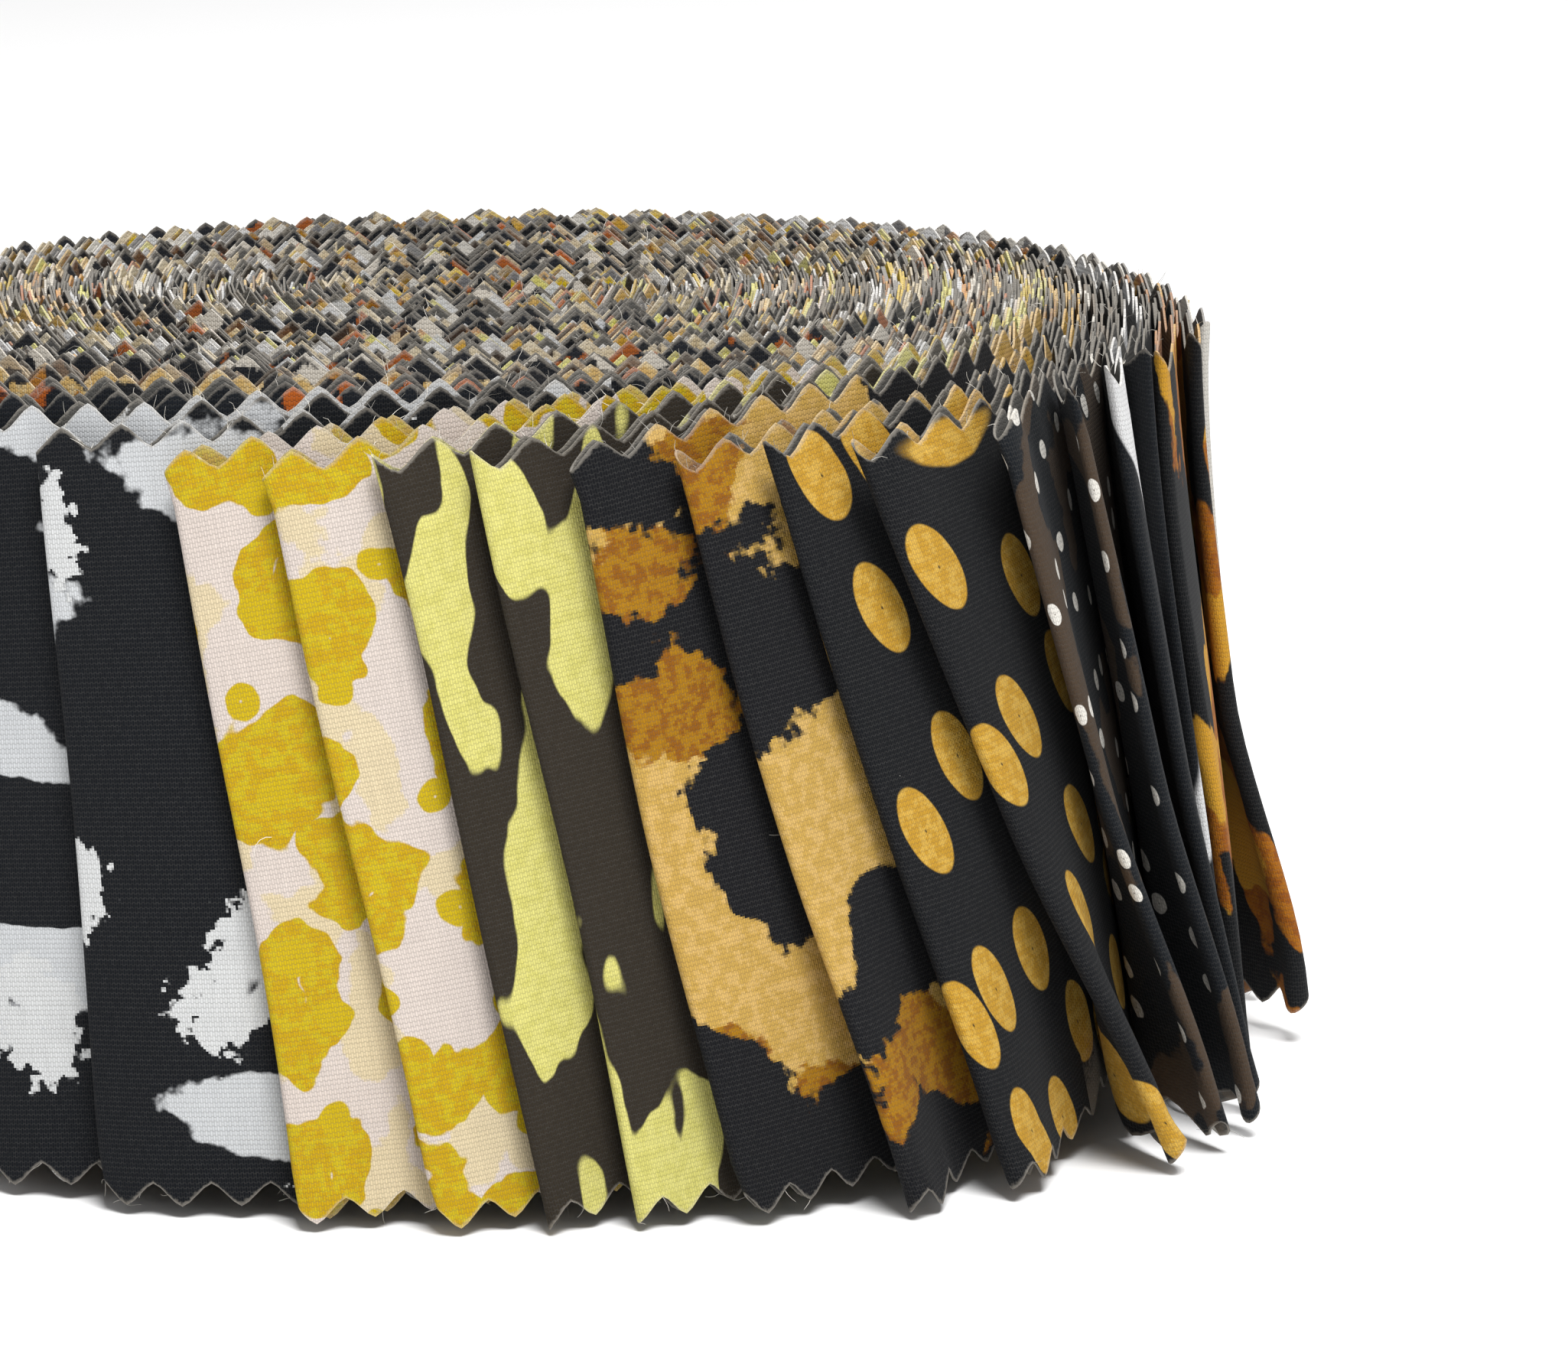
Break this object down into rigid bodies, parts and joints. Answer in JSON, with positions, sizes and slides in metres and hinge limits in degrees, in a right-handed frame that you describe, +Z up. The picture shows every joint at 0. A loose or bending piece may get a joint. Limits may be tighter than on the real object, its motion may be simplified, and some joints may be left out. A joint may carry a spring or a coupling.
{
  "type": "jelly roll of pre-cut patchwork fabric strips",
  "caption": "Roll of pinked cotton strips, each folded in half, wound up together so that their folded ends overlap one after another round the outside, for patchwork sewing.",
  "frame": {"origin": "on the surface that the roll stands on, under the middle of its outline", "axes": "+Z up along the strips' width, +X to the right along the roll's longer way, -Y towards the pictured side"},
  "size_m": [0.1326, 0.1156, 0.067],
  "materials": {
    "wound_cloth": "printed cotton seen on its pinked cut edges, matt",
    "cloth_tawny_stripe": "plain-weave cotton, printed on one side, matt",
    "cloth_pale_rosette": "plain-weave cotton, printed on one side, matt",
    "cloth_brown_fleck": "plain-weave cotton, printed on one side, matt",
    "cloth_gold_rosette": "plain-weave cotton, printed on one side, matt",
    "cloth_burnt_orange": "plain-weave cotton, printed on one side, matt",
    "cloth_zebra_stripe": "plain-weave cotton, printed on one side, matt",
    "cloth_giraffe_patch": "plain-weave cotton, printed on one side, matt",
    "cloth_moss_blotch": "plain-weave cotton, printed on one side, matt",
    "cloth_leopard_patch": "plain-weave cotton, printed on one side, matt",
    "cloth_gold_oval": "plain-weave cotton, printed on one side, matt",
    "cloth_white_dot": "plain-weave cotton, printed on one side, matt",
    "cloth_white_patch": "plain-weave cotton, printed on one side, matt",
    "cloth_tiger_stripe": "plain-weave cotton, printed on one side, matt",
    "cloth_grey_zebra": "plain-weave cotton, printed on one side, matt",
    "cloth_mustard_giraffe": "plain-weave cotton, printed on one side, matt",
    "cloth_brown_zebra": "plain-weave cotton, printed on one side, matt",
    "cloth_cheetah_spot": "plain-weave cotton, printed on one side, matt",
    "cloth_rust_fleck": "plain-weave cotton, printed on one side, matt",
    "cloth_lime_giraffe": "plain-weave cotton, printed on one side, matt",
    "cloth_navy_zebra": "plain-weave cotton, printed on one side, matt"
  },
  "bodies": {
    "root": {"roll": "wound_cloth", "strip_end_01": "cloth_tawny_stripe", "strip_end_02": "cloth_tawny_stripe", "strip_end_03": "cloth_pale_rosette", "strip_end_04": "cloth_pale_rosette", "strip_end_05": "cloth_brown_fleck", "strip_end_06": "cloth_brown_fleck", "strip_end_07": "cloth_gold_rosette", "strip_end_08": "cloth_gold_rosette", "strip_end_09": "cloth_burnt_orange", "strip_end_10": "cloth_burnt_orange", "strip_end_11": "cloth_zebra_stripe", "strip_end_12": "cloth_zebra_stripe", "strip_end_13": "cloth_giraffe_patch", "strip_end_14": "cloth_giraffe_patch", "strip_end_15": "cloth_moss_blotch", "strip_end_16": "cloth_moss_blotch", "strip_end_17": "cloth_leopard_patch", "strip_end_18": "cloth_leopard_patch", "strip_end_19": "cloth_gold_oval", "strip_end_20": "cloth_gold_oval", "strip_end_21": "cloth_white_dot", "strip_end_22": "cloth_white_dot", "strip_end_23": "cloth_white_patch", "strip_end_24": "cloth_white_patch", "strip_end_25": "cloth_tiger_stripe", "strip_end_26": "cloth_tiger_stripe", "strip_end_27": "cloth_grey_zebra", "strip_end_28": "cloth_grey_zebra", "strip_end_29": "cloth_mustard_giraffe", "strip_end_30": "cloth_mustard_giraffe", "strip_end_31": "cloth_brown_zebra", "strip_end_32": "cloth_brown_zebra", "strip_end_33": "cloth_cheetah_spot", "strip_end_34": "cloth_cheetah_spot", "strip_end_35": "cloth_rust_fleck", "strip_end_36": "cloth_rust_fleck", "strip_end_37": "cloth_lime_giraffe", "strip_end_38": "cloth_lime_giraffe", "strip_end_39": "cloth_navy_zebra", "strip_end_40": "cloth_navy_zebra"}
  },
  "joints": []
}
